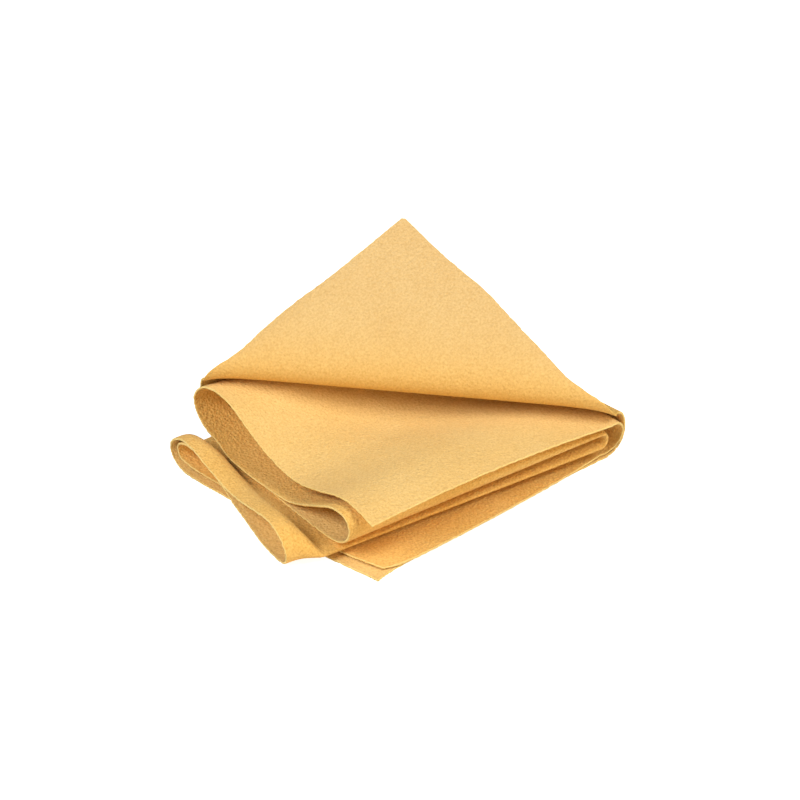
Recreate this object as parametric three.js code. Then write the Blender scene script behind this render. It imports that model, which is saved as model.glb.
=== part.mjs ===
// A synthetic chamois cloth, folded in half three times, with one corner turned back.
// The cloth is a single sheet of felt. It is divided here where it creases, and each mesh is one stretch.
// Millimetres, +Z up. X runs from the cut ends to the right-hand fold, Y from the near side to the left-hand
// folds.
import * as THREE from 'three';

// The felt
const SHEET = 1.3;            // thickness of the felt
const LAYER_GAP = 0.55;       // air between two leaves that lie on each other
const CUT_GAP = 0.36;         // gap where the sheet is divided at a crease
const FELT_COLOUR = 0xe9bd78;
const FELT_ROUGHNESS = 0.95;

// The packet
const LEAF_WIDTH = 157.5;     // cut ends to the start of the right-hand fold
const LEAF_DEPTH = 147;       // near side to the left-hand folds
const FOLD_RISE = 14;         // half the height of the packet at the right-hand fold
const CORE_RISE = 3.2;        // half the height of the innermost turn there
const CORE_SETBACK = 2.5;     // the inner leaves turn this much earlier than the outer ones

// The loose loops at the cut ends
const UPPER_LEFT_LOOP = 30.6; // height of the open loop between second and third leaf, upper half
const UPPER_NEAR_LOOP = 19.4; // height of the near loop between core and third leaf, upper half
const LOWER_LEFT_LOOP = 19;   // height of the left loop of the lower half
const LOWER_NEAR_LOOP = 17.9; // height of the near loop of the lower half
const UPPER_SETTLE = 1.15;    // extra air between the two halves
const UPPER_SLIP = 6;         // how far the inner leaves of the upper half stick out of its cut end
const LOWER_SLIP = 32.3;      // the same for the near loop of the lower half
const SECOND_BOW = 3.2;       // rise of the second leaf's free edge at half its length
const LEFT_OPENING = 22;      // the lower left loop is open from here on, in front of the leaf's end line
const NEAR_OPENING = 32;      // the same for the lower near loop
const CLOSING_RUN = 18.5;     // length over which they close up behind that
const CLOSING_LEAD = 1.8;     // the inner layers of a loop close this much earlier

// The corner that is turned back
const CREASE_RADIUS = 5;      // radius of the rolled crease
const FLAP_LEFT_EDGE = 142;   // cut edge from the left end of the crease to the corner's tip
const FLAP_RIGHT_EDGE = 159.6; // cut edge from the right end of the crease to the tip
const FLAP_TURN = 142;        // how far the corner is turned up and over, degrees
const CREASE_OVERRUN = 3.5;   // the crease ends this far past the start of the right-hand fold
const CREASE_LIFT = 2.4;      // and this far above it
const LIFT_FADE = 5;          // power with which that lift dies away along the fold
const CREASE_ARCH = 4;        // how far the crease stands above its two ends
const ARCH_RUN = 9;           // length over which it comes down to them
const CREASE_STRIP = 2;       // width of the cover leaf that is left at that end
const TIP_WIDTH = 1.2;        // blunt tip of the cut corner

// Steps of the faceted surfaces
const TURN_STEPS = 5;         // steps round a quarter of the right-hand fold

const layer = SHEET + LAYER_GAP;
const half = SHEET / 2;
const coverRise = FOLD_RISE - half;
const secondRise = coverRise - layer;
const thirdRise = CORE_RISE + layer;
const lowerPack = { cover: half, second: half + layer, third: half + 2 * layer, core: half + 3 * layer };
const upperPack = { core: lowerPack.core + layer + UPPER_SETTLE };
upperPack.third = upperPack.core + layer;

// A smooth curve through stations of any length, uniform Catmull-Rom. The parameter counts stations.
function splineAt(stations, s) {
  const last = stations.length - 1;
  const i = Math.min(Math.floor(s), last - 1);
  const t = s - i;
  const mirror = (a, b) => a.map((value, k) => 2 * value - b[k]);
  const p1 = stations[i];
  const p2 = stations[i + 1];
  const p0 = i > 0 ? stations[i - 1] : mirror(p1, p2);
  const p3 = i + 2 <= last ? stations[i + 2] : mirror(p2, p1);
  return p1.map((value, k) => {
    const slope = (p2[k] - p0[k]) * t;
    const square = (2 * p0[k] - 5 * value + 4 * p2[k] - p3[k]) * t * t;
    const cube = (3 * value - 3 * p2[k] + p3[k] - p0[k]) * t * t * t;
    return value + (slope + square + cube) / 2;
  });
}

// The stretches of the sheet from one free edge to the other.
const STRETCHES = [
  'cover_leaf', 'cover_bend', 'core_leaf', 'near_bend', 'third_leaf', 'inner_bend', 'second_leaf',
];

// A section is the line of the sheet at one place. It is stated as stations for each stretch in turn, and a
// stretch runs from its own first station to the first one of the next stretch.
function section(stationsByStretch) {
  const stations = [];
  const starts = {};
  for (const stretch of STRETCHES) {
    starts[stretch] = stations.length;
    stations.push(...(stationsByStretch[stretch] ?? []));
  }
  const ends = {};
  STRETCHES.forEach((stretch, k) => {
    ends[stretch] = k + 1 < STRETCHES.length ? starts[STRETCHES[k + 1]] : stations.length - 1;
  });
  return (stretch, u) => splineAt(stations, starts[stretch] + u * (ends[stretch] - starts[stretch]));
}

// Stations at the cut ends: share of the half's slip in front of the leaf's end line, share of the leaf's
// depth, and height. Loops are stated as shares of their height.
const atUpper = (slip, share, z) => [-slip * UPPER_SLIP, share * LEAF_DEPTH, z];
const atLower = (slip, share, z) => [-slip * LOWER_SLIP, share * LEAF_DEPTH, z];
const upperLeft = (share) => upperPack.third + share * UPPER_LEFT_LOOP;
const upperNear = (share) => upperPack.core + share * UPPER_NEAR_LOOP;
const INNER_LOOP = [
  [1, 0.918, 0.29], [0.93, 0.976, 0.48], [0.8, 1.001, 0.68], [0.6, 0.991, 0.86], [0.3, 0.961, 0.97],
];
const OUTER_LOOP = [
  [-0.4, 0.99, 0.96], [-0.38, 1.01, 0.93], [-0.36, 1.022, 0.86], [-0.33, 1.028, 0.66], [-0.2, 1.01, 0.4],
  [-0.05, 0.965, 0.185],
];
const outerRise = (rise) => upperLeft(rise) + layer * (2 * rise - 1);
const upperEnd = section({
  cover_bend: OUTER_LOOP.map(([slip, share, rise]) => atUpper(slip, share, outerRise(rise))),
  core_leaf: [
    atUpper(0.1, 0.908, upperLeft(0.05)), atUpper(0.3, 0.828, upperNear(0.04)),
    atUpper(0.5, 0.714, upperPack.core), atUpper(0.7, 0.578, upperPack.core),
    atUpper(0.87, 0.442, upperPack.core), atUpper(0.97, 0.327, upperPack.core),
  ],
  near_bend: [
    atUpper(1, 0.231, upperPack.core), atUpper(1, 0.156, upperNear(0.035)),
    atUpper(1, 0.102, upperNear(0.21)), atUpper(1, 0.0735, upperNear(0.51)),
    atUpper(1, 0.078, upperNear(0.82)), atUpper(1, 0.116, upperNear(1)),
  ],
  third_leaf: [
    atUpper(1, 0.177, upperNear(0.955)), atUpper(1, 0.252, upperNear(0.7)),
    atUpper(1, 0.333, upperNear(0.41)), atUpper(1, 0.422, upperLeft(0.05)),
    atUpper(1, 0.544, upperPack.third), atUpper(1, 0.68, upperPack.third),
    atUpper(1, 0.789, upperLeft(0.055)), atUpper(0.833, 0.857, upperLeft(0.155)),
  ],
  inner_bend: INNER_LOOP.map(([slip, share, rise]) => atUpper(slip, share, upperLeft(rise))),
  second_leaf: [
    atUpper(0.1, 0.903, upperLeft(1)), atUpper(0, 0.82, upperLeft(0.93)),
    atUpper(0, 0.735, upperLeft(0.745)), atUpper(0, 0.646, upperLeft(0.55)),
    atUpper(0, 0.544, upperLeft(0.395)), atUpper(0, 0.422, upperLeft(0.345)),
    atUpper(0, 0.3, upperNear(0.85)), atUpper(0, 0.184, upperNear(1.035) + layer),
    atUpper(0, 0.088, upperNear(1.045) + layer), atUpper(0, 0, upperNear(0.97)),
  ],
});

// Stations at the cut end of the lower half, whose loops stand open on the table.
const lowerLeft = (share) => half + share * LOWER_LEFT_LOOP;
const lowerNear = (share) => lowerPack.second + share * LOWER_NEAR_LOOP;
const lowerEnd = section({
  cover_leaf: [
    atLower(0.06, -0.048, half), atLower(0.32, 0.34, half),
    atLower(0.51, 0.612, half), atLower(0.655, 0.82, half),
  ],
  cover_bend: [
    atLower(0.69, 0.918, lowerLeft(0.04)), atLower(0.68, 0.978, lowerLeft(0.26)),
    atLower(0.665, 0.993, lowerLeft(0.54)), atLower(0.66, 0.966, lowerLeft(0.81)),
  ],
  core_leaf: [
    atLower(0.659, 0.912, lowerLeft(0.97)), atLower(0.697, 0.837, lowerLeft(1)),
    atLower(0.752, 0.714, lowerLeft(0.87)), atLower(0.814, 0.578, lowerLeft(0.745)),
    atLower(0.867, 0.476, lowerNear(0.78)), atLower(0.913, 0.388, lowerNear(0.92)),
    atLower(0.944, 0.313, lowerNear(1)),
  ],
  near_bend: [
    atLower(0.975, 0.255, lowerNear(0.95)), atLower(0.991, 0.211, lowerNear(0.73)),
    atLower(1, 0.185, lowerNear(0.39)), atLower(0.997, 0.197, lowerNear(0.1)),
  ],
  third_leaf: [
    atLower(0.969, 0.259, lowerNear(0)), atLower(0.929, 0.354, lowerNear(0.06)),
    atLower(0.882, 0.449, lowerNear(0.25)), atLower(0.836, 0.544, lowerNear(0.45)),
    atLower(0.72, 0.633, lowerLeft(0.67)), atLower(0.62, 0.728, lowerLeft(0.765)),
  ],
  inner_bend: [
    atLower(0.54, 0.823, lowerLeft(0.875)), atLower(0.49, 0.9, lowerLeft(0.84)),
    atLower(0.46, 0.953, lowerLeft(0.67)), atLower(0.45, 0.967, lowerLeft(0.44)),
    atLower(0.45, 0.942, lowerLeft(0.23)),
  ],
  second_leaf: [
    atLower(0.44, 0.871, lowerNear(0.035)), atLower(0.41, 0.782, lowerPack.second),
    atLower(0.34, 0.544, lowerPack.second), atLower(0.248, 0.306, lowerPack.second),
    atLower(0.124, 0.136, lowerPack.second), atLower(-0.139, -0.014, lowerPack.second),
  ],
});

// A half turn from one height to another that reaches out by `reach` beyond the line y = start.
function halfTurn(start, reach, from, to) {
  return (u) => {
    const angle = Math.PI * u;
    return [start + reach * Math.sin(angle), (from + to) / 2 + (from - to) / 2 * Math.cos(angle)];
  };
}

// A level run from one depth to another.
const level = (from, to, height) => (u) => [from + (to - from) * u, height];

// The sheet where its leaves lie flat on each other, as depth and height for each stretch.
function stackedSection(heights, edges) {
  return {
    cover_leaf: level(edges.coverEdge, edges.coverTurn, heights.cover),
    cover_bend: halfTurn(edges.coverTurn, edges.coverReach, heights.cover, heights.core),
    core_leaf: level(edges.coverTurn, edges.nearTurn, heights.core),
    near_bend: halfTurn(edges.nearTurn, -edges.nearReach, heights.core, heights.third),
    third_leaf: level(edges.nearTurn, edges.innerTurn, heights.third),
    inner_bend: halfTurn(edges.innerTurn, edges.innerReach, heights.third, heights.second),
    second_leaf: level(edges.innerTurn, edges.secondEdge, heights.second),
  };
}

// Under the upper half the lower leaves are pressed together.
const lowerStack = stackedSection(lowerPack, {
  coverEdge: -0.048 * LEAF_DEPTH, coverTurn: 0.945 * LEAF_DEPTH, coverReach: 4.2 * layer,
  nearTurn: 0.184 * LEAF_DEPTH, nearReach: 2.7 * layer,
  innerTurn: 0.925 * LEAF_DEPTH, innerReach: 2.1 * layer, secondEdge: -0.014 * LEAF_DEPTH,
});

// At the right-hand fold the height is counted from the middle of the packet, and becomes the fold's radius.
const foldRises = { cover: coverRise, second: secondRise, third: thirdRise, core: CORE_RISE };
const foldEdges = {
  coverTurn: 0.972 * LEAF_DEPTH, coverReach: 3.2 * layer,
  nearTurn: 0.065 * LEAF_DEPTH, nearReach: 2.2 * layer,
  innerTurn: 0.952 * LEAF_DEPTH, innerReach: 2.7 * layer,
};
const upperCoverEdge = 0.0165 * LEAF_DEPTH;
const upperFold = stackedSection(foldRises, { ...foldEdges, coverEdge: upperCoverEdge, secondEdge: 0 });
const lowerFold = stackedSection(foldRises, {
  ...foldEdges, coverEdge: 0.054 * LEAF_DEPTH, secondEdge: 0.061 * LEAF_DEPTH,
});

// How much earlier a stretch turns at the right-hand fold.
const SETBACK = {
  cover_leaf: () => 0, cover_bend: (u) => u, core_leaf: () => 1, near_bend: () => 1, third_leaf: () => 1,
  inner_bend: (u) => 1 - u, second_leaf: () => 0,
};
const foldStart = (stretch, u) => LEAF_WIDTH - CORE_SETBACK * SETBACK[stretch](u);

// The right-hand fold: a quarter turn, from the leaf (turn = 0) to the middle of the packet (turn = 1).
// Its two halves meet half-way between their edges.
function foldPoint(stretch, u, turn, side) {
  const [ownFold, otherFold] = side > 0 ? [upperFold, lowerFold] : [lowerFold, upperFold];
  const [y, rise] = ownFold[stretch](u);
  const drift = (otherFold[stretch](u)[0] - y) / 2;
  const angle = Math.PI / 2 * turn;
  const x = foldStart(stretch, u) + rise * Math.sin(angle);
  return [x, y + drift * turn, FOLD_RISE + side * rise * Math.cos(angle)];
}

const mix = (a, b, t) => a.map((value, k) => value + (b[k] - value) * t);

// A point of the upper half: a straight line from the cut end to the fold for w up to 1, then round the fold.
function upperPoint(stretch, u, w) {
  if (w > 1) return foldPoint(stretch, u, w - 1, 1);
  const point = mix(upperEnd(stretch, u), foldPoint(stretch, u, 0, 1), w);
  if (stretch === 'second_leaf') point[2] += SECOND_BOW * Math.sin(Math.PI * w) * u * u;
  return point;
}

// Which stretches are inner layers of the lower loops.
const INNER_LAYER = {
  cover_leaf: () => 0, cover_bend: () => 0, core_leaf: () => 0, near_bend: (u) => u, third_leaf: () => 1,
  inner_bend: () => 1, second_leaf: () => 1,
};

// How far the lower loops stand open at x, for a point whose place on the cut end is a share of the depth.
function loopOpening(x, share, inner) {
  const towardsLeft = THREE.MathUtils.clamp((share - 0.25) / 0.55, 0, 1);
  const openTo = NEAR_OPENING + (LEFT_OPENING - NEAR_OPENING) * towardsLeft + CLOSING_LEAD * inner;
  const closed = Math.max(0, (x + openTo) / CLOSING_RUN);
  return Math.max(0, 1 - closed ** 4) ** 2;
}

// A point of the lower half: the pressed stack, with the open loops added towards the cut end.
function lowerPoint(stretch, u, w) {
  if (w > 1) return foldPoint(stretch, u, w - 1, -1);
  const end = lowerEnd(stretch, u);
  const [stackY, stackZ] = lowerStack[stretch](u);
  const stack = [end[0], stackY, stackZ];
  const [x, y, z] = mix(stack, foldPoint(stretch, u, 0, -1), w);
  const opening = loopOpening(x, end[1] / LEAF_DEPTH, INNER_LAYER[stretch](u));
  return [x, y + (end[1] - stackY) * opening, Math.max(half, z + (end[2] - stackZ) * opening)];
}

// The plane of the upper cover leaf goes through both ends of the crease and the far end of the left fold.
const vector = (point) => new THREE.Vector3(...point);
const creaseLeft = vector(upperEnd('cover_bend', 0));
const farCorner = vector(foldPoint('cover_bend', 0, 0, 1));
const creaseEnd = [LEAF_WIDTH + CREASE_OVERRUN, upperCoverEdge, FOLD_RISE + coverRise + CREASE_LIFT];
const creaseRight = vector(creaseEnd);
const along = creaseRight.clone().sub(creaseLeft).normalize();
const planeUp = farCorner.clone().sub(creaseRight).cross(creaseLeft.clone().sub(creaseRight)).normalize();
const towardsNear = along.clone().cross(planeUp).normalize();
const creaseLength = creaseRight.distanceTo(creaseLeft);

// The tip of the corner, measured along the crease and away from it, from the lengths of its two cut edges.
const cornerAlong = (creaseLength ** 2 + FLAP_LEFT_EDGE ** 2 - FLAP_RIGHT_EDGE ** 2) / (2 * creaseLength);
const cornerReach = Math.sqrt(FLAP_LEFT_EDGE ** 2 - cornerAlong ** 2);
const turn = THREE.MathUtils.degToRad(FLAP_TURN);
const rollLength = CREASE_RADIUS * turn;

// Rise of the crease above its two ends, which lie on the loop below and on the fold.
function creaseArch(share) {
  const s = share * creaseLength;
  return CREASE_ARCH * (1 - Math.exp(-s / ARCH_RUN)) * (1 - Math.exp((s - creaseLength) / ARCH_RUN));
}

// A point of the turned corner: `reach` beyond the crease, first round the roll and then straight on. The
// sheet comes down with the ends of the crease, less and less towards the tip.
function cornerPoint(share, reach) {
  const s = share * creaseLength + (cornerAlong - share * creaseLength) * reach / cornerReach;
  const angle = Math.min(reach / CREASE_RADIUS, turn);
  const straight = Math.max(reach - rollLength, 0);
  const out = CREASE_RADIUS * Math.sin(angle) + straight * Math.cos(turn);
  const droop = (CREASE_ARCH - creaseArch(share)) * (1 - reach / cornerReach) ** 2;
  const up = CREASE_RADIUS * (1 - Math.cos(angle)) + straight * Math.sin(turn) + CREASE_ARCH - droop;
  const onCrease = creaseLeft.clone().addScaledVector(along, s);
  return onCrease.addScaledVector(towardsNear, out).addScaledVector(planeUp, up);
}

// A point of what is left of the upper cover leaf, from the crease (w = 0) to the fold (w = 1) and round it.
// At its near end (u = 0) the fold is drawn up with the crease, so it turns there on an ellipse.
function coverPoint(u, w) {
  const [foldX, y, foldZ] = foldPoint('cover_leaf', u, Math.max(0, w - 1), 1);
  const angle = Math.PI / 2 * Math.max(0, w - 1);
  const shift = (CREASE_OVERRUN + CREASE_STRIP) * (1 - u) * (1 - Math.sin(angle));
  const onFold = [foldX + shift, y, foldZ + CREASE_LIFT * (1 - u) ** LIFT_FADE * Math.cos(angle)];
  const onCrease = creaseRight.clone().lerp(creaseLeft, u).addScaledVector(planeUp, creaseArch(1 - u));
  return w >= 1 ? onFold : mix(onCrease.toArray(), onFold, w);
}

const FELT = new THREE.MeshStandardMaterial({ color: FELT_COLOUR, roughness: FELT_ROUGHNESS, metalness: 0 });

// A closed solid of the felt's thickness around a surface given as rows of points.
function feltSolid(name, rows) {
  const toVector = (point) => (point.isVector3 ? point.clone() : vector(point));
  const points = rows.map((row) => row.map(toVector));
  const rowCount = points.length;
  const columnCount = points[0].length;
  const inset = (edge, inner) => edge.addScaledVector(inner.clone().sub(edge).normalize(), CUT_GAP / 2);
  for (const row of points) {
    inset(row[0], row[1]);
    inset(row[columnCount - 1], row[columnCount - 2]);
  }
  for (let c = 0; c < columnCount; c += 1) {
    inset(points[0][c], points[1][c]);
    inset(points[rowCount - 1][c], points[rowCount - 2][c]);
  }
  const difference = (a, b) => b.clone().sub(a);
  const normalAt = (r, c) => {
    const alongRow = difference(points[r][Math.max(c - 1, 0)], points[r][Math.min(c + 1, columnCount - 1)]);
    const acrossRows = difference(points[Math.max(r - 1, 0)][c], points[Math.min(r + 1, rowCount - 1)][c]);
    return alongRow.cross(acrossRows).normalize();
  };
  const positions = [];
  for (const side of [half, -half]) {
    points.forEach((row, r) => row.forEach((point, c) => {
      positions.push(...point.clone().addScaledVector(normalAt(r, c), side).toArray());
    }));
  }
  const back = rowCount * columnCount;
  const at = (r, c) => r * columnCount + c;
  const triangles = [];
  const quad = (a, b, c, d) => triangles.push(a, b, c, a, c, d);
  for (let r = 0; r + 1 < rowCount; r += 1) {
    for (let c = 0; c + 1 < columnCount; c += 1) {
      quad(at(r, c), at(r, c + 1), at(r + 1, c + 1), at(r + 1, c));
      quad(back + at(r, c), back + at(r + 1, c), back + at(r + 1, c + 1), back + at(r, c + 1));
    }
  }
  const rim = [];
  for (let c = 0; c + 1 < columnCount; c += 1) rim.push(at(0, c));
  for (let r = 0; r + 1 < rowCount; r += 1) rim.push(at(r, columnCount - 1));
  for (let c = columnCount - 1; c > 0; c -= 1) rim.push(at(rowCount - 1, c));
  for (let r = rowCount - 1; r > 0; r -= 1) rim.push(at(r, 0));
  rim.forEach((from, k) => {
    const to = rim[(k + 1) % rim.length];
    quad(from, back + from, back + to, to);
  });
  const geometry = new THREE.BufferGeometry();
  geometry.setAttribute('position', new THREE.Float32BufferAttribute(positions, 3));
  geometry.setIndex(triangles);
  geometry.computeVertexNormals();
  const mesh = new THREE.Mesh(geometry, FELT);
  mesh.name = name;
  return mesh;
}

const steps = (count) => Array.from({ length: count + 1 }, (_, k) => k / count);
const foldSteps = steps(TURN_STEPS).slice(1).map((t) => 1 + t);

// Steps along each stretch of the two halves.
const UPPER_STEPS = {
  cover_bend: 10, core_leaf: 8, near_bend: 12, third_leaf: 12, inner_bend: 10, second_leaf: 14,
};
const LOWER_STEPS = {
  cover_leaf: 6, cover_bend: 9, core_leaf: 16, near_bend: 10, third_leaf: 16, inner_bend: 10, second_leaf: 8,
};
const upperRows = [0, 0.25, 0.5, 0.75, 1, ...foldSteps];
const lowerRows = [0, 0.025, 0.045, 0.06, 0.075, 0.09, 0.11, 0.4, 0.7, 1, ...foldSteps];

const cloth = new THREE.Group();
for (const [stretch, count] of Object.entries(UPPER_STEPS)) {
  const rows = upperRows.map((w) => steps(count).map((u) => upperPoint(stretch, u, w)));
  cloth.add(feltSolid(`upper_${stretch}`, rows));
}
for (const [stretch, count] of Object.entries(LOWER_STEPS)) {
  const rows = lowerRows.map((w) => steps(count).map((u) => lowerPoint(stretch, u, w))).reverse();
  cloth.add(feltSolid(`lower_${stretch}`, rows));
}

// The upper cover leaf, its rolled crease and its turned-back corner. Steps along the crease are short at its
// ends, where it comes down.
const creaseSteps = [0, 0.02, 0.05, 0.1, 0.18, 0.32, 0.5, 0.68, 0.82, 0.9, 0.95, 0.98, 1];
cloth.add(feltSolid('upper_cover_leaf', upperRows.map((w) => creaseSteps.map((u) => coverPoint(u, w)))));
const cornerRow = (reach) => creaseSteps.map((share) => cornerPoint(share, reach));
cloth.add(feltSolid('flap_crease', steps(8).map((t) => cornerRow(rollLength * t))));
const tipReach = cornerReach * (1 - TIP_WIDTH / creaseLength);
const flapReach = (t) => rollLength + (tipReach - rollLength) * t;
cloth.add(feltSolid('corner_flap', steps(8).map((t) => cornerRow(flapReach(t)))));

// The origin is the middle of the leaves, on the table.
cloth.position.set(-LEAF_WIDTH / 2, -LEAF_DEPTH / 2, 0);

export default cloth;
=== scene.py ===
# %% [markdown]
# # A folded synthetic chamois cloth
# The real object is one rectangle of needle felt, folded in half three times, with one corner of the
# top leaf turned back over a diagonal. Everything here is one surface: a grid whose columns run along a
# folded section of the sheet and whose rows run from one cut end, round the right-hand fold, to the
# other cut end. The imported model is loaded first, because it gives the bodies that each stretch of the
# felt moves with.

import bpy
import numpy as np
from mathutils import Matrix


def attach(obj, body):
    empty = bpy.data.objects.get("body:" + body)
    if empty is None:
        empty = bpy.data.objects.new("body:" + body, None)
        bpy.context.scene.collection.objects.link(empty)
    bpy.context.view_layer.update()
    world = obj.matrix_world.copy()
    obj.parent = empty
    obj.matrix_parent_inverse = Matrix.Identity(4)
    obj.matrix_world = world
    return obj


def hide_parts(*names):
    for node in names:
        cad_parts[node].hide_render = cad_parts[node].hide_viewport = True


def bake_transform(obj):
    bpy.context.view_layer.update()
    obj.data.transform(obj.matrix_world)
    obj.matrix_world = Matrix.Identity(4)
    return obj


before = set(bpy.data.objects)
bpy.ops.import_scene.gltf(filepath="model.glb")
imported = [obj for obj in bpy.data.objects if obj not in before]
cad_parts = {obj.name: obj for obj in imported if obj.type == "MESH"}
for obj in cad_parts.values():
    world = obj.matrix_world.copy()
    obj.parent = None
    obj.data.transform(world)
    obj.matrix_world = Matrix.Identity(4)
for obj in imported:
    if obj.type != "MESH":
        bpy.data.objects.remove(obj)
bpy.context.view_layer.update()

# %% [markdown]
# ## The sizes of the folded sheet
# These are the sizes, in millimetres, that the solid model was made from, under the same names, so the
# soft surface lies where the solids are. A few soft forms differ on purpose. The solids wind the turned
# corner round a plain roll, while here it straightens out gradually, as thick felt does. The inner loop
# of the lower half and the free edges also lie a little differently. The origin is the middle of the
# leaves, on the table.

# %% Sizes in millimetres
MM = 0.001
SHEET = 1.3  # thickness of the felt
LAYER_GAP = 0.55  # air between two pressed layers
LEAF_WIDTH = 157.5
LEAF_DEPTH = 147.0
FOLD_RISE = 14.0  # outer radius of the right-hand fold, and the height of its middle
CORE_RISE = 3.2  # radius of its innermost layer
CORE_SETBACK = 2.5  # how far the inner layers stay back from it
UPPER_LEFT_LOOP = 30.6  # rises of the four loops at the cut ends
UPPER_NEAR_LOOP = 19.4
LOWER_LEFT_LOOP = 19.0
LOWER_NEAR_LOOP = 17.9
UPPER_SETTLE = 1.15  # air between the two halves
UPPER_SLIP = 6.0  # how far the layers have slid out at the cut ends
LOWER_SLIP = 32.3
SECOND_BOW = 3.2  # rise of the second leaf's free edge
LEFT_OPENING = 22.0  # lengths over which the lower loops stand open
NEAR_OPENING = 32.0
CLOSING_RUN = 18.5  # run in which they close, and the inner layer's lead
CLOSING_LEAD = 1.8
CURL_RUN = 10.0  # run in which the turned corner's angle grows
FLAP_LEFT_EDGE = 143.1  # cut edges and full turn of the corner
FLAP_RIGHT_EDGE = 160.7
FLAP_TURN = np.radians(145.9)
CREASE_OVERRUN = 3.5  # how far the crease's right end lies past the leaf, and above it
CREASE_LIFT = 2.4
CREASE_ARCH = 3.6  # rise of the crease between its ends, and the run of that rise
ARCH_RUN = 9.0
LIFT_FADE = 5  # power with which the lift fades along the fold
CREASE_STRIP = 2.0  # felt left between the crease and the fold at the near end
TIP_WIDTH = 1.2  # width of the corner's tip

HALF = SHEET / 2
LAYER = SHEET + LAYER_GAP
COVER_RISE = FOLD_RISE - HALF
RISES = {
    "cover": COVER_RISE,
    "second": COVER_RISE - LAYER,
    "third": CORE_RISE + LAYER,
    "core": CORE_RISE,
}
LOWER_PACK = {
    "cover": HALF,
    "second": HALF + LAYER,
    "third": HALF + 2 * LAYER,
    "core": HALF + 3 * LAYER,
}
UPPER_CORE = HALF + 4 * LAYER + UPPER_SETTLE
UPPER_THIRD = UPPER_CORE + LAYER
ORIGIN = np.array([LEAF_WIDTH / 2, LEAF_DEPTH / 2, 0.0])
STRETCHES = [
    "cover_leaf",
    "cover_bend",
    "core_leaf",
    "near_bend",
    "third_leaf",
    "inner_bend",
    "second_leaf",
]
print("leaf", LEAF_WIDTH, "by", LEAF_DEPTH, "mm, layer pitch", LAYER, "mm")

# %% [markdown]
# ## A smooth line through a few stations
# At the cut ends the leaves stand open in loose loops. A loop is easiest to draw as a handful of
# stations, each one a point where the felt was seen, joined by a smooth curve. A Catmull-Rom curve goes
# through every station and needs no handles, so a station can be moved by itself.


# %% Spline and sections
def spline(stations, s):
    """Uniform Catmull-Rom curve through the stations, for an array of s counted in stations.

    Between p1 and p2 it is p1 + ((p2-p0)t + (2p0-5p1+4p2-p3)t^2 + (3p1-3p2+p3-p0)t^3)/2. Beyond each end
    stands the mirror image of the next station.
    """
    first = 2 * stations[:1] - stations[1:2]
    last = 2 * stations[-1:] - stations[-2:-1]
    p = np.concatenate([first, stations, last])
    i = np.minimum(np.floor(s).astype(int), len(stations) - 2)
    t = (s - i)[:, None]
    p0, p1, p2, p3 = p[i], p[i + 1], p[i + 2], p[i + 3]
    square = 2 * p0 - 5 * p1 + 4 * p2 - p3
    cube = 3 * p1 - 3 * p2 + p3 - p0
    return p1 + ((p2 - p0) * t + square * t**2 + cube * t**3) / 2


def cut_end(stations_by_stretch, slip):
    """A cut end's section, as one spline through the stations of all stretches.

    A station (a, b, z) lies at x = -a times the slip, y = b times the leaf's depth and the height z. The
    returned function gives a stretch's own part of that spline, for u from 0 to 1.
    """
    rows, starts = [], {}
    for stretch in STRETCHES:
        starts[stretch] = len(rows)
        rows += stations_by_stretch.get(stretch, [])
    stations = np.array(rows, float) * [-slip, LEAF_DEPTH, 1.0]
    ends = {a: starts[b] for a, b in zip(STRETCHES, STRETCHES[1:])}
    ends[STRETCHES[-1]] = len(rows) - 1

    def at(stretch, u):
        return spline(stations, starts[stretch] + u * (ends[stretch] - starts[stretch]))

    return at


def upper_left(share):
    """Height in the upper left loop: its foot on the third leaf plus a share of its rise."""
    return UPPER_THIRD + share * UPPER_LEFT_LOOP


def upper_near(share):
    """Height in the upper near loop: its foot on the core leaf plus a share of its rise."""
    return UPPER_CORE + share * UPPER_NEAR_LOOP


def lower_left(share):
    """Height in the lower left loop: half a thickness above the table plus a share of its rise."""
    return HALF + share * LOWER_LEFT_LOOP


def lower_near(share):
    """Height in the lower near loop: its foot on the second leaf plus a share of its rise."""
    return LOWER_PACK["second"] + share * LOWER_NEAR_LOOP


print("feet of the upper loops at", round(UPPER_THIRD, 2), "and", round(UPPER_CORE, 2), "mm")

# %% [markdown]
# ## The two cut ends
# The upper end shows a tall pear-shaped loop at the left and a small round loop near the front corner.
# The lower end shows a flatter loop at the left and a wide one at the front, and lies askew. Heights
# are shares of each loop's height, so that a loop can be opened or closed with one number.

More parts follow.
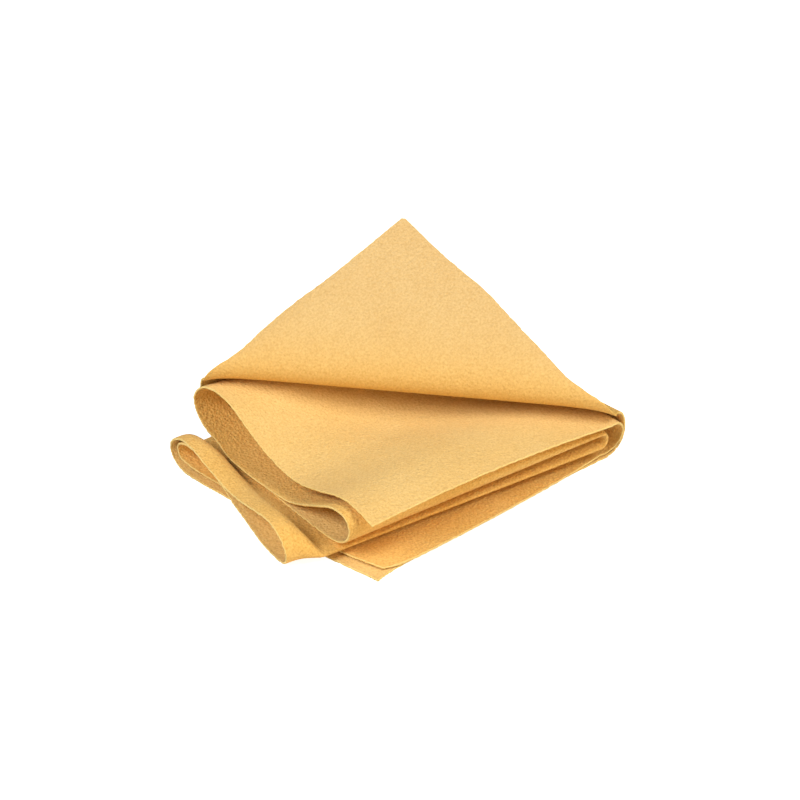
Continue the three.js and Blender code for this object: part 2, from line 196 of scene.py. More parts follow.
# %% Stations of the cut ends
OUTER_LOOP = [
    (-0.4, 0.99, 0.96),
    (-0.38, 1.01, 0.93),
    (-0.36, 1.022, 0.86),
    (-0.33, 1.028, 0.66),
    (-0.2, 1.01, 0.4),
    (-0.05, 0.965, 0.185),
]
INNER_LOOP = [
    (1, 0.918, 0.29),
    (0.93, 0.976, 0.48),
    (0.8, 1.001, 0.68),
    (0.6, 0.991, 0.86),
    (0.3, 0.961, 0.97),
]
upper_end = cut_end(
    {
        "cover_bend": [(a, b, upper_left(r) + LAYER * (2 * r - 1)) for a, b, r in OUTER_LOOP],
        "core_leaf": [
            (0.1, 0.908, upper_left(0.05)),
            (0.3, 0.828, upper_near(0.04)),
            (0.5, 0.714, UPPER_CORE),
            (0.7, 0.578, UPPER_CORE),
            (0.87, 0.442, UPPER_CORE),
            (0.97, 0.327, UPPER_CORE),
        ],
        "near_bend": [
            (1, 0.231, UPPER_CORE),
            (1, 0.156, upper_near(0.035)),
            (1, 0.102, upper_near(0.21)),
            (1, 0.0735, upper_near(0.51)),
            (1, 0.078, upper_near(0.82)),
            (1, 0.116, upper_near(1)),
        ],
        "third_leaf": [
            (1, 0.177, upper_near(0.955)),
            (1, 0.252, upper_near(0.7)),
            (1, 0.333, upper_near(0.41)),
            (1, 0.422, upper_left(0.05)),
            (1, 0.544, UPPER_THIRD),
            (1, 0.68, UPPER_THIRD),
            (1, 0.789, upper_left(0.055)),
            (0.833, 0.857, upper_left(0.155)),
        ],
        "inner_bend": [(a, b, upper_left(r)) for a, b, r in INNER_LOOP],
        "second_leaf": [
            (0.1, 0.903, upper_left(1)),
            (0, 0.82, upper_left(0.93)),
            (0, 0.735, upper_left(0.745)),
            (0, 0.646, upper_left(0.55)),
            (0, 0.544, upper_left(0.395)),
            (0, 0.422, upper_left(0.345)),
            (0, 0.3, upper_near(0.85)),
            (0, 0.184, upper_near(1.035) + LAYER),
            (0, 0.088, upper_near(1.045) + LAYER),
            (0, 0, upper_near(0.97)),
        ],
    },
    UPPER_SLIP,
)
lower_end = cut_end(
    {
        "cover_leaf": [
            (0.06, -0.048, HALF),
            (0.32, 0.34, HALF),
            (0.51, 0.612, HALF),
            (0.655, 0.82, HALF),
        ],
        "cover_bend": [
            (0.69, 0.918, lower_left(0.04)),
            (0.68, 0.978, lower_left(0.26)),
            (0.665, 0.993, lower_left(0.54)),
            (0.66, 0.966, lower_left(0.81)),
        ],
        "core_leaf": [
            (0.659, 0.912, lower_left(0.97)),
            (0.697, 0.837, lower_left(1)),
            (0.752, 0.714, lower_left(0.87)),
            (0.814, 0.578, lower_left(0.745)),
            (0.867, 0.476, lower_near(0.78)),
            (0.913, 0.388, lower_near(0.92)),
            (0.944, 0.313, lower_near(1)),
        ],
        "near_bend": [
            (0.975, 0.255, lower_near(0.95)),
            (0.991, 0.211, lower_near(0.73)),
            (1, 0.185, lower_near(0.39)),
            (0.997, 0.197, lower_near(0.1)),
        ],
        "third_leaf": [
            (0.969, 0.259, lower_near(0)),
            (0.929, 0.354, lower_near(0.06)),
            (0.882, 0.449, lower_near(0.25)),
            (0.836, 0.544, lower_near(0.45)),
            (0.765, 0.633, lower_left(0.67)),
            (0.705, 0.728, lower_left(0.765)),
        ],
        "inner_bend": [
            (0.655, 0.823, lower_left(0.875)),
            (0.625, 0.9, lower_left(0.845)),
            (0.61, 0.953, lower_left(0.68)),
            (0.6, 0.97, lower_left(0.45)),
            (0.6, 0.947, lower_left(0.235)),
        ],
        "second_leaf": [
            (0.575, 0.871, lower_near(0.035)),
            (0.51, 0.782, LOWER_PACK["second"]),
            (0.385, 0.544, LOWER_PACK["second"]),
            (0.248, 0.306, LOWER_PACK["second"]),
            (0.124, 0.136, LOWER_PACK["second"]),
            (-0.139, -0.014, LOWER_PACK["second"]),
        ],
    },
    LOWER_SLIP,
)
print("upper loops rise to", round(upper_left(1), 1), "mm, lower ones to", round(lower_left(1), 1), "mm")

# %% [markdown]
# ## The leaves where they lie flat
# Under the upper half, and at the right-hand fold, the leaves are pressed together. There the section
# is only level runs and half turns, so it is written as formulas. At the right-hand fold a leaf's
# distance from the middle of the packet becomes the radius that it turns on.


# %% Stacked sections
def stacked(heights, edges):
    """Depth and height along each stretch of a pressed stack, as functions of u from 0 to 1."""

    def level(a, b, height):
        """A level run: depth a + (b - a) u at one height."""
        return lambda u: np.stack([a + (b - a) * u, np.full_like(u, height)], -1)

    def half_turn(start, reach, a, b):
        """Half an ellipse from height a to b: depth start + reach sin(pi u), height as the cosine."""

        def at(u):
            angle = np.pi * u
            height = (a + b) / 2 + (a - b) / 2 * np.cos(angle)
            return np.stack([start + reach * np.sin(angle), height], -1)

        return at

    h, e = heights, edges
    return {
        "cover_leaf": level(e["cover_edge"], e["cover_turn"], h["cover"]),
        "cover_bend": half_turn(e["cover_turn"], e["cover_reach"], h["cover"], h["core"]),
        "core_leaf": level(e["cover_turn"], e["near_turn"], h["core"]),
        "near_bend": half_turn(e["near_turn"], -e["near_reach"], h["core"], h["third"]),
        "third_leaf": level(e["near_turn"], e["inner_turn"], h["third"]),
        "inner_bend": half_turn(e["inner_turn"], e["inner_reach"], h["third"], h["second"]),
        "second_leaf": level(e["inner_turn"], e["second_edge"], h["second"]),
    }


lower_stack = stacked(
    LOWER_PACK,
    {
        "cover_edge": -0.048 * LEAF_DEPTH,
        "cover_turn": 0.945 * LEAF_DEPTH,
        "cover_reach": 4.2 * LAYER,
        "near_turn": 0.184 * LEAF_DEPTH,
        "near_reach": 2.7 * LAYER,
        "inner_turn": 0.925 * LEAF_DEPTH,
        "inner_reach": 2.1 * LAYER,
        "second_edge": -0.014 * LEAF_DEPTH,
    },
)
FOLD_EDGES = {
    "cover_turn": 0.972 * LEAF_DEPTH,
    "cover_reach": 3.2 * LAYER,
    "near_turn": 0.065 * LEAF_DEPTH,
    "near_reach": 2.2 * LAYER,
    "inner_turn": 0.952 * LEAF_DEPTH,
    "inner_reach": 2.7 * LAYER,
}
UPPER_COVER_EDGE = 0.0165 * LEAF_DEPTH
upper_fold = stacked(RISES, {**FOLD_EDGES, "cover_edge": UPPER_COVER_EDGE, "second_edge": 0.0})
lower_fold = stacked(
    RISES, {**FOLD_EDGES, "cover_edge": 0.054 * LEAF_DEPTH, "second_edge": 0.061 * LEAF_DEPTH}
)


def setback(stretch, u):
    """Share of the core's setback in a stretch: 0 on the outer leaves, 1 on the inner ones, u between."""
    shares = {"cover_leaf": 0 * u, "cover_bend": u, "inner_bend": 1 - u, "second_leaf": 0 * u}
    return shares.get(stretch, np.ones_like(u))


def fold_point(stretch, u, turn, side):
    """A quarter of the right-hand fold, where a = 90 degrees times turn and r is the leaf's rise.

    x = leaf width - setback + r sin(a), z = middle + side r cos(a), and y drifts half-way to the y of
    the other half.
    """
    own, other = (upper_fold, lower_fold) if side > 0 else (lower_fold, upper_fold)
    y, rise = own[stretch](u).T
    drift = (other[stretch](u)[:, 0] - y) / 2
    angle = np.pi / 2 * turn[:, None]
    x = LEAF_WIDTH - CORE_SETBACK * setback(stretch, u) + rise * np.sin(angle)
    z = FOLD_RISE + side * rise * np.cos(angle)
    return np.stack([x, y + drift * turn[:, None], z], -1)


print("the fold's leaves turn on", {k: round(v, 2) for k, v in RISES.items()}, "mm")

# %% [markdown]
# ## The two halves
# The upper half is ruled: straight lines run from its cut end to the fold. The lower half is pressed
# flat by the upper one, and its loops open only where they stick out from under it. Its two free edges
# don't lie quite on each other: away from the cut end, the second leaf has slid out over the cover
# leaf.

# %% Halves
START = np.zeros(1)
PANEL_EASE = 4.0  # filling of the second leaf's hollow, and where it lies across the leaf
HOLLOW_START = 0.06
HOLLOW_WIDTH = 0.8
CREASE_CLEAR = 0.4  # share of the leaf in which the filling starts from the crease
NEAR_SHARE = 0.25  # shares of the depth between which the opening changes
LEFT_SHARE = 0.80
EDGE_SPREAD = 4.5  # slide of the second leaf's edge and of the cover leaf's, and its start
EDGE_TUCK = 2.0
EDGE_EASE = 0.05


def smooth_step(t):
    """0 up to t = 0, then t^2 (3 - 2t), and 1 from t = 1 on."""
    t = np.clip(t, 0, 1)
    return t**2 * (3 - 2 * t)


def upper_half(stretch, u, w):
    """Rows w from 0 at the cut end to 1 at the fold: end + (fold - end) w.

    The second leaf's free edge has a bow, and its hollow fills by ease 4 w (1 - w) times a squared sine
    across it, but not under the diagonal crease, where u = w: a smooth step of (u - w) brings it in there.
    """
    w = w[:, None, None]
    points = upper_end(stretch, u) * (1 - w) + fold_point(stretch, u, START, 1) * w
    if stretch == "second_leaf":
        points[..., 2] += SECOND_BOW * np.sin(np.pi * w[..., 0]) * u**2
        hollow = np.sin(np.pi * np.clip((u - HOLLOW_START) / HOLLOW_WIDTH, 0, 1)) ** 2
        clear = smooth_step((u - w[..., 0]) / CREASE_CLEAR)
        points[..., 2] += PANEL_EASE * 4 * w[..., 0] * (1 - w[..., 0]) * hollow * clear
    return points


def inner_layer(stretch, u):
    """Share of the inner layer in a stretch of the lower loops: 0 outside, 1 inside, u between them."""
    shares = {"cover_leaf": 0 * u, "cover_bend": 0 * u, "core_leaf": 0 * u, "near_bend": u}
    return shares.get(stretch, np.ones_like(u))


def loop_opening(x, share, inner):
    """Opening of the lower loops at x: (1 - t^4)^2 for t from 0 to 1, t = (x + open length) / closing run.

    The open length goes evenly from the near opening to the left one, between two shares of the depth.
    """
    towards_left = np.clip((share - NEAR_SHARE) / (LEFT_SHARE - NEAR_SHARE), 0, 1)
    open_to = NEAR_OPENING + (LEFT_OPENING - NEAR_OPENING) * towards_left + CLOSING_LEAD * inner
    closed = np.maximum(0, (x + open_to) / CLOSING_RUN)
    return np.maximum(0, 1 - closed**4) ** 2


def lower_half(stretch, u, w):
    """Rows w from 0 to 1: the pressed stack, plus (open end - stack) times the opening of the loops.

    The free edges then slide by their spread times (1 - exp(-w/ease)) (1 - w^4), fading as a cube into
    the leaf, and nothing goes below the table.
    """
    w = w[:, None, None]
    end = lower_end(stretch, u)
    stack = np.concatenate([end[:, :1], lower_stack[stretch](u)], -1)
    points = stack * (1 - w) + fold_point(stretch, u, START, -1) * w
    opening = loop_opening(points[..., :1], end[:, 1:2] / LEAF_DEPTH, inner_layer(stretch, u)[:, None])
    points = points + (end - stack) * opening
    free_edge = {"cover_leaf": EDGE_TUCK * (1 - u) ** 3, "second_leaf": -EDGE_SPREAD * u**3}
    along_edge = (1 - np.exp(-w[..., 0] / EDGE_EASE)) * (1 - w[..., 0] ** 4)
    points[..., 1] += free_edge.get(stretch, 0 * u) * along_edge
    points[..., 2] = np.maximum(points[..., 2], HALF)
    return points


print("lower loops stand open over", LEFT_OPENING, "mm at the left,", NEAR_OPENING, "mm at the near side")

# %% [markdown]
# ## The turned-back corner
# The top leaf's corner is turned back over a diagonal crease. Thick felt doesn't fold sharply: it bends
# hardest at the crease and straightens out gradually. So each point keeps its distance from the crease,
# and the felt's angle grows towards the full turn as an exponential. The crease stands proud of the
# leaf below it except at its two ends. The cut edges of the real flap aren't quite straight, so each
# gets a small wave, with most of it close to the crease.

# %% Crease frame
CURL_STEPS = 400
LEFT_WAVE = np.array([0, 4.0, 5.7, 1.4, 1.4, 1.2, -0.3, -0.2, 0.6])
RIGHT_WAVE = np.array([0, 3.5, 4.2, -2.8, -2.5, -1.1, 1.2, -0.9, 0.4])
WAVE_CROWD = 0.6  # power that crowds the waves' nodes towards the crease
crease_left = upper_end("cover_bend", START)[0]
crease_right = np.array(
    [LEAF_WIDTH + CREASE_OVERRUN, UPPER_COVER_EDGE, FOLD_RISE + COVER_RISE + CREASE_LIFT]
)
far_corner = fold_point("cover_bend", START, START, 1)[0, 0]
crease_length = np.linalg.norm(crease_right - crease_left)
along = (crease_right - crease_left) / crease_length
plane_up = np.cross(far_corner - crease_right, crease_left - crease_right)
plane_up = plane_up / np.linalg.norm(plane_up)
towards_near = np.cross(along, plane_up)
corner_along = (crease_length**2 + FLAP_LEFT_EDGE**2 - FLAP_RIGHT_EDGE**2) / (2 * crease_length)
corner_reach = np.sqrt(FLAP_LEFT_EDGE**2 - corner_along**2)
curl_reach = np.linspace(0, corner_reach, CURL_STEPS + 1)
curl_angle = FLAP_TURN * (1 - np.exp(-curl_reach / CURL_RUN))
curl_middle = (curl_angle[1:] + curl_angle[:-1]) / 2
curl_step = curl_reach[1]
curl_out = np.concatenate([[0], np.cumsum(np.cos(curl_middle) * curl_step)])
curl_up = np.concatenate([[0], np.cumsum(np.sin(curl_middle) * curl_step)])
print("crease", round(float(crease_length), 1), "mm long, corner", round(float(corner_reach), 1), "mm high")


def crease_arch(share):
    """Rise of the crease above its ends: arch (1 - exp(-s/run)) (1 - exp(-(length - s)/run))."""
    s = share * crease_length
    return CREASE_ARCH * (1 - np.exp(-s / ARCH_RUN)) * (1 - np.exp((s - crease_length) / ARCH_RUN))


def corner_surface(share, reach):
    """Rows of reach beyond the crease, where the felt's angle is turn (1 - exp(-reach/run)).

    Its place out from the crease and up from the leaf is the running sum of that angle's cosine and sine.
    Along the crease, rows close evenly on the corner. Each edge's wave fades as a cube towards the other.
    """
    reach = reach[:, None]
    place = reach / corner_reach
    s = share * crease_length + (corner_along - share * crease_length) * place
    node = place[:, 0] ** WAVE_CROWD * (len(LEFT_WAVE) - 1)
    left = spline(LEFT_WAVE[:, None], node)
    right = spline(RIGHT_WAVE[:, None], node)
    s = s - left * (1 - share) ** 3 + right * share**3
    droop = (CREASE_ARCH - crease_arch(share)) * (1 - place) ** 2
    out = np.interp(reach, curl_reach, curl_out) + 0 * s
    up = np.interp(reach, curl_reach, curl_up) + CREASE_ARCH - droop
    return crease_left + s[..., None] * along + out[..., None] * towards_near + up[..., None] * plane_up


def cover_remainder(u, w):
    """What is left of the cover leaf: crease + (fold - crease) w, for w from 0 to 1."""
    w = w[:, None, None]
    on_crease = crease_right + (crease_left - crease_right) * u[:, None]
    on_crease = on_crease + crease_arch(1 - u)[:, None] * plane_up
    return on_crease * (1 - w) + cover_fold(u, START) * w


def cover_fold(u, turn):
    """The cover leaf's upper quarter of the fold, drawn out and up at its near end, u = 0.

    It moves out by (overrun + strip)(1 - u)(1 - sin a) and up by lift (1 - u)^fade cos a.
    """
    points = fold_point("cover_leaf", u, turn, 1)
    angle = np.pi / 2 * turn[:, None]
    points[..., 0] += (CREASE_OVERRUN + CREASE_STRIP) * (1 - u) * (1 - np.sin(angle))
    points[..., 2] += CREASE_LIFT * (1 - u) ** LIFT_FADE * np.cos(angle)
    return points


# %% [markdown]
# ## One grid for the whole sheet
# Columns follow the section from the cover leaf's free edge to the second leaf's free edge, and rows go
# from the upper cut end, over the fold, to the lower cut end. The turned corner is a smaller grid that
# shares its last row with the crease. Because all of it is one grid, neighbouring stretches share their
# vertices and no seam can open.

# %% Grid
COLUMNS = {
    "cover_leaf": 104,
    "cover_bend": 30,
    "core_leaf": 64,
    "near_bend": 34,
    "third_leaf": 72,
    "inner_bend": 34,
    "second_leaf": 88,
}
LEAF_ROWS = 100
FOLD_ROWS = 20
FLAP_ROWS = 92
ROW_CROWD = 1.15  # power that crowds the rows towards the cut ends
w_rows = np.linspace(0, 1, LEAF_ROWS + 1) ** ROW_CROWD
turn_rows = np.linspace(0, 1, FOLD_ROWS + 1)
column_u = {k: np.linspace(0, 1, n + 1)[:-1] for k, n in COLUMNS.items()}
column_u["second_leaf"] = np.linspace(0, 1, COLUMNS["second_leaf"] + 1)


def upper_row_block(stretch):
    """A stretch's rows from the upper cut end, or the crease, to the middle of the fold."""
    u = column_u[stretch]
    if stretch == "cover_leaf":
        return np.concatenate([cover_remainder(u, w_rows), cover_fold(u, turn_rows[1:])])
    return np.concatenate([upper_half(stretch, u, w_rows), fold_point(stretch, u, turn_rows[1:], 1)])


def lower_row_block(stretch):
    """A stretch's rows from beyond the middle of the fold to the lower cut end."""
    u = column_u[stretch]
    fold = fold_point(stretch, u, turn_rows[::-1][1:], -1)
    return np.concatenate([fold, lower_half(stretch, u, w_rows[::-1][1:])])


upper_grid = np.concatenate([upper_row_block(k) for k in STRETCHES], axis=1)
lower_grid = np.concatenate([lower_row_block(k) for k in STRETCHES], axis=1)
sheet_grid = np.concatenate([upper_grid, lower_grid])
row_count, column_count = sheet_grid.shape[:2]
cover_columns = COLUMNS["cover_leaf"] + 1
flap_share = np.linspace(1, 0, cover_columns)
tip_reach = corner_reach * (1 - TIP_WIDTH / crease_length)
flap_reach = np.linspace(tip_reach, 0, FLAP_ROWS + 1)[:-1]
flap_grid = corner_surface(flap_share, flap_reach)
print("sheet grid", sheet_grid.shape, "corner grid", flap_grid.shape)


# %% Faces of the grids, and the piece that each face belongs to
def grid_quads(index):
    """Quads of an array of vertex numbers, one for each cell of the grid."""
    a, b, c, d = index[:-1, :-1], index[:-1, 1:], index[1:, 1:], index[1:, :-1]
    return np.stack([a, b, c, d], -1).reshape(-1, 4)


sheet_index = np.arange(row_count * column_count).reshape(row_count, column_count)
flap_index = sheet_index.size + np.arange(flap_grid[..., 0].size).reshape(FLAP_ROWS, cover_columns)
flap_index = np.concatenate([flap_index, sheet_index[:1, :cover_columns]])
quads = np.concatenate([grid_quads(sheet_index), grid_quads(flap_index)])
points = np.concatenate([sheet_grid.reshape(-1, 3), flap_grid.reshape(-1, 3)])

UPPER, CORNER, FOLD, LOWER = range(4)
cell_group = np.full((row_count - 1, column_count - 1), FOLD)
cell_group[:LEAF_ROWS] = UPPER
cell_group[:LEAF_ROWS, : cover_columns - 1] = CORNER
cell_group[LEAF_ROWS + 2 * FOLD_ROWS :] = LOWER
group = np.concatenate([cell_group.ravel(), np.full(FLAP_ROWS * (cover_columns - 1), CORNER)])
print("faces of the middle surface:", len(quads))

# %% [markdown]
# ## Felt has thickness, and its cut edges crumble
# The middle surface gets a skin on each side, half a thickness away along its normals. Cut felt doesn't
# end in a clean edge: fibres stand out, so each edge vertex is pushed a little in or out, and a third
# line of vertices rounds the rim.


# %% Normals and edges
def unit(v):
    """Vectors divided by their lengths, with zero vectors left as they are."""
    return v / np.maximum(np.linalg.norm(v, axis=-1, keepdims=True), 1e-12)


def vertex_normals(co):
    """Area-weighted mean of the cross products of each face's diagonals."""
    face = np.cross(co[quads[:, 2]] - co[quads[:, 0]], co[quads[:, 3]] - co[quads[:, 1]])
    total = np.zeros_like(co)
    for corner in range(4):
        np.add.at(total, quads[:, corner], face)
    return unit(total)


directed = np.concatenate([quads[:, [k, (k + 1) % 4]] for k in range(4)])
owner = np.tile(np.arange(len(quads)), 4)
_, edge_of, uses = np.unique(np.sort(directed, axis=1), axis=0, return_inverse=True, return_counts=True)
edge_of = edge_of.ravel()
lowest = np.full(len(uses), LOWER)
highest = np.full(len(uses), UPPER)
np.minimum.at(lowest, edge_of, group[owner])
np.maximum.at(highest, edge_of, group[owner])
is_cut = uses[edge_of] == 1
is_seam = (lowest != highest)[edge_of]
cut_vertices = np.unique(directed[is_cut])
print("cut edge:", is_cut.sum(), "edges, seams between pieces:", is_seam.sum() // 2)

# %% Crumbled edges
CRUMBLE = 0.12  # standard deviation of the fibres
FIBRE_SEED = 11
PUSH_LIMIT = 0.35  # most that a vertex is pushed, as a share of its shortest edge


def shortest(edges):
    """At each vertex, the length of the shortest of the given edges there, or infinity if there is none."""
    length = np.linalg.norm(points[edges[:, 1]] - points[edges[:, 0]], axis=1)
    size = np.full(len(points), np.inf)
    np.minimum.at(size, edges[:, 0], length)
    np.minimum.at(size, edges[:, 1], length)
    return size


rng = np.random.default_rng(FIBRE_SEED)
normals = vertex_normals(points)
cut_from, cut_to = directed[is_cut].T
cut_run = points[cut_to] - points[cut_from]
cut_side = unit(np.cross(cut_run, normals[cut_from] + normals[cut_to]))
outward = np.zeros_like(points)
np.add.at(outward, cut_from, cut_side)
np.add.at(outward, cut_to, cut_side)
outward = unit(outward - (outward * normals).sum(-1, keepdims=True) * normals)
rim_limit = PUSH_LIMIT * shortest(directed[is_cut])
crumble_limit = PUSH_LIMIT * shortest(directed)
crumble = np.zeros(len(points))
crumble[cut_vertices] = rng.normal(0, CRUMBLE, len(cut_vertices))
crumble = np.clip(crumble, -crumble_limit, crumble_limit)
points = points + crumble[:, None] * outward
print("fibres stand out by up to", round(float(crumble.max()), 2), "mm")

# %% [markdown]
# ## Making the meshes
# The one sheet is cut into four pieces only because they move differently: the lower leaves, the upper
# leaves, the fold between them, and the top leaf with its turned corner. They share the vertices of
# their seams.


# %% Pieces
RIM_BULGE = 0.3  # how far the rim stands out
ROLL_FADE = 24.0  # distances in which the painted crease shade dies away, on the corner and on the leaf
LEAF_FADE = 6.0
normals = vertex_normals(points)
outer_skin = points + HALF * normals
inner_skin = points - HALF * normals
rim = points + np.minimum(RIM_BULGE, rim_limit)[:, None] * outward
vertex_count = len(points)
rim_start = 2 * vertex_count
stacked_points = (np.concatenate([outer_skin, inner_skin, rim]) - ORIGIN) * MM
shading_normals = np.concatenate([normals, -normals, outward])
# Painted shade: a deeper orange near the rolled crease, on the corner and on the leaf, fading away from it.
flap_crease_shade = np.repeat(np.exp(-flap_reach / ROLL_FADE), cover_columns)
crease_gap = np.linalg.norm(sheet_grid - sheet_grid[:1], axis=-1)
crease_gap[:, cover_columns - 1 :] = np.inf
crease_gap[LEAF_ROWS + 1 :] = np.inf
leaf_crease_shade = np.exp(-crease_gap / LEAF_FADE).ravel()
crease_shade = np.tile(np.concatenate([leaf_crease_shade, flap_crease_shade]), 3)  # the same on both skins and the rim
SMOOTH_FACE, PEBBLED_FACE, CUT_EDGE = range(3)


def felt_piece(name, which):
    """One group of faces as a closed mesh: both skins, rims on its cut edges and flat caps on its seams."""
    mine = quads[group == which]
    back = mine[:, ::-1] + vertex_count
    a, b = directed[(group[owner] == which) & is_cut].T
    over = np.stack([b, a, a + rim_start, b + rim_start], -1)
    under = np.stack([b + rim_start, a + rim_start, a + vertex_count, b + vertex_count], -1)
    a, b = directed[(group[owner] == which) & is_seam].T
    cap = np.stack([b, a, a + vertex_count, b + vertex_count], -1)
    faces = np.concatenate([mine, back, over, under, cap])
    counts = [len(mine), len(back), 2 * len(over), len(cap)]
    finish = np.repeat([SMOOTH_FACE, PEBBLED_FACE, CUT_EDGE, CUT_EDGE], counts)
    used, faces = np.unique(faces, return_inverse=True)
    faces = faces.reshape(-1, 4)
    mesh = bpy.data.meshes.new(name)
    mesh.from_pydata(stacked_points[used].tolist(), [], faces.tolist())
    mesh.polygons.foreach_set("use_smooth", np.ones(len(faces), bool))
    mesh.polygons.foreach_set("material_index", finish)
    mesh.update()
    mesh.normals_split_custom_set_from_vertices(shading_normals[used].tolist())
    # stores the painted crease shade as a point attribute
    mesh.attributes.new("crease_shade", "FLOAT", "POINT").data.foreach_set("value", crease_shade[used])
    piece = bpy.data.objects.new(name, mesh)
    bpy.context.scene.collection.objects.link(piece)
    print(name, len(faces) * 2, "triangles")
    return piece


upper_leaves = felt_piece("upper_leaves", UPPER)
turned_leaf = felt_piece("turned_leaf", CORNER)
right_fold = felt_piece("right_fold", FOLD)
lower_leaves = felt_piece("lower_leaves", LOWER)

# %% [markdown]
# ## The felt's finish
# Synthetic chamois is a tan needle felt, and its two faces differ a little. One is pressed smoother and
# is paler, the other keeps a pebbled nap and is a deeper orange. The turned corner's smooth side gets a
# darker, greyer copy of the smooth finish: that is painted shade, which evens out the stronger light that
# the lamps throw on the tilted corner. Cut edges show the inside of the felt, which is paler still. These
# finishes share one recipe: a tan that drifts slightly over a few centimetres, flecks of fibre, and a bump
# from two textures. All of it reads Object coordinates, so the grain runs on over the seams. Near the
# rolled crease a deeper, saturated orange is mixed in by an attribute that dies away from the crease: that
# is painted shade, standing in for the shade and warm bounce light under the roll.


# %% Felt materials
WHITE = (1, 1, 1)
# painted shade: the saturated orange of the shade and bounce light under the rolled crease
CREASE_SHADE_TAN = (0.80, 0.47, 0.10)
SHEEN_TINT = (1.0, 0.86, 0.62)
SHEEN_ROUGHNESS = 0.5
FELT_ROUGHNESS = 0.95
FELT_GLOSS = 0.5
BUMP_STRENGTH = 0.5
PEBBLE_SCALE = 620.0
DRIFT_NOISE = {"Scale": 28.0, "Detail": 2.0, "Roughness": 0.5}
FIBRE_NOISE = {"Scale": 900.0, "Detail": 3.0, "Roughness": 0.65}
GRAIN_NOISE = {"Scale": 820.0, "Detail": 3.0, "Roughness": 0.55}
DRIFT_RANGE = (0.3, 0.7)
FLECK_RANGE = (0.32, 0.62)


def felt_material(name, deep, pale, fleck, relief, sheen):
    """A matt felt, worked out on Object coordinates.

    Its colour is mix(deep, pale, drift), mixed with the painted crease shade by an attribute, times flecks
    of fibre.
    Its bump is grain noise plus pebble cells, with the given relief in metres.
    """
    material = bpy.data.materials.new(name)
    material.use_nodes = True
    nodes, links = material.node_tree.nodes, material.node_tree.links
    shader = nodes["Principled BSDF"]
    place = nodes.new("ShaderNodeTexCoord")

    def texture(kind, settings):
        """A noise or cell texture with the given settings."""
        node = nodes.new(kind)
        for socket, value in settings.items():
            node.inputs[socket].default_value = value
        links.new(place.outputs["Object"], node.inputs["Vector"])
        return node

    def ramp(noise, span, low, high):
        """A colour that goes from low to high while the noise goes through the span."""
        node = nodes.new("ShaderNodeValToRGB")
        for element, position, color in zip(node.color_ramp.elements, span, (low, high)):
            element.position = position
            element.color = (*color, 1)
        links.new(noise.outputs["Fac"], node.inputs["Fac"])
        return node

    grain = texture("ShaderNodeTexNoise", GRAIN_NOISE)
    pebble = texture("ShaderNodeTexVoronoi", {"Scale": PEBBLE_SCALE})
    tan = ramp(texture("ShaderNodeTexNoise", DRIFT_NOISE), DRIFT_RANGE, deep, pale)
    flecks = ramp(texture("ShaderNodeTexNoise", FIBRE_NOISE), FLECK_RANGE, fleck, WHITE)
    # mixes in the painted crease shade by its attribute
    crease_shade_share = nodes.new("ShaderNodeAttribute")
    crease_shade_share.attribute_name = "crease_shade"
    crease_shaded = nodes.new("ShaderNodeMix")
    crease_shaded.data_type = "RGBA"
    crease_shaded.inputs["B"].default_value = (*CREASE_SHADE_TAN, 1)
    links.new(crease_shade_share.outputs["Fac"], crease_shaded.inputs["Factor"])
    links.new(tan.outputs["Color"], crease_shaded.inputs["A"])
    tint = nodes.new("ShaderNodeMix")
    tint.data_type = "RGBA"
    tint.blend_type = "MULTIPLY"
    tint.inputs["Factor"].default_value = 1.0
    links.new(crease_shaded.outputs["Result"], tint.inputs["A"])
    links.new(flecks.outputs["Color"], tint.inputs["B"])
    links.new(tint.outputs["Result"], shader.inputs["Base Color"])

    height = nodes.new("ShaderNodeMath")
    height.operation = "ADD"
    links.new(grain.outputs["Fac"], height.inputs[0])
    links.new(pebble.outputs["Distance"], height.inputs[1])
    bump = nodes.new("ShaderNodeBump")
    bump.inputs["Strength"].default_value = BUMP_STRENGTH
    bump.inputs["Distance"].default_value = relief
    links.new(height.outputs["Value"], bump.inputs["Height"])
    links.new(bump.outputs["Normal"], shader.inputs["Normal"])

    shader.inputs["Roughness"].default_value = FELT_ROUGHNESS
    shader.inputs["Specular IOR Level"].default_value = FELT_GLOSS
    shader.inputs["Sheen Weight"].default_value = sheen
    shader.inputs["Sheen Roughness"].default_value = SHEEN_ROUGHNESS
    shader.inputs["Sheen Tint"].default_value = (*SHEEN_TINT, 1)
    return material


SMOOTH_TAN = felt_material(
    "smooth_tan_felt",
    deep=(0.855, 0.565, 0.20),
    pale=(0.875, 0.60, 0.23),
    fleck=(0.85, 0.78, 0.65),
    relief=0.0009,
    sheen=0.05,
)
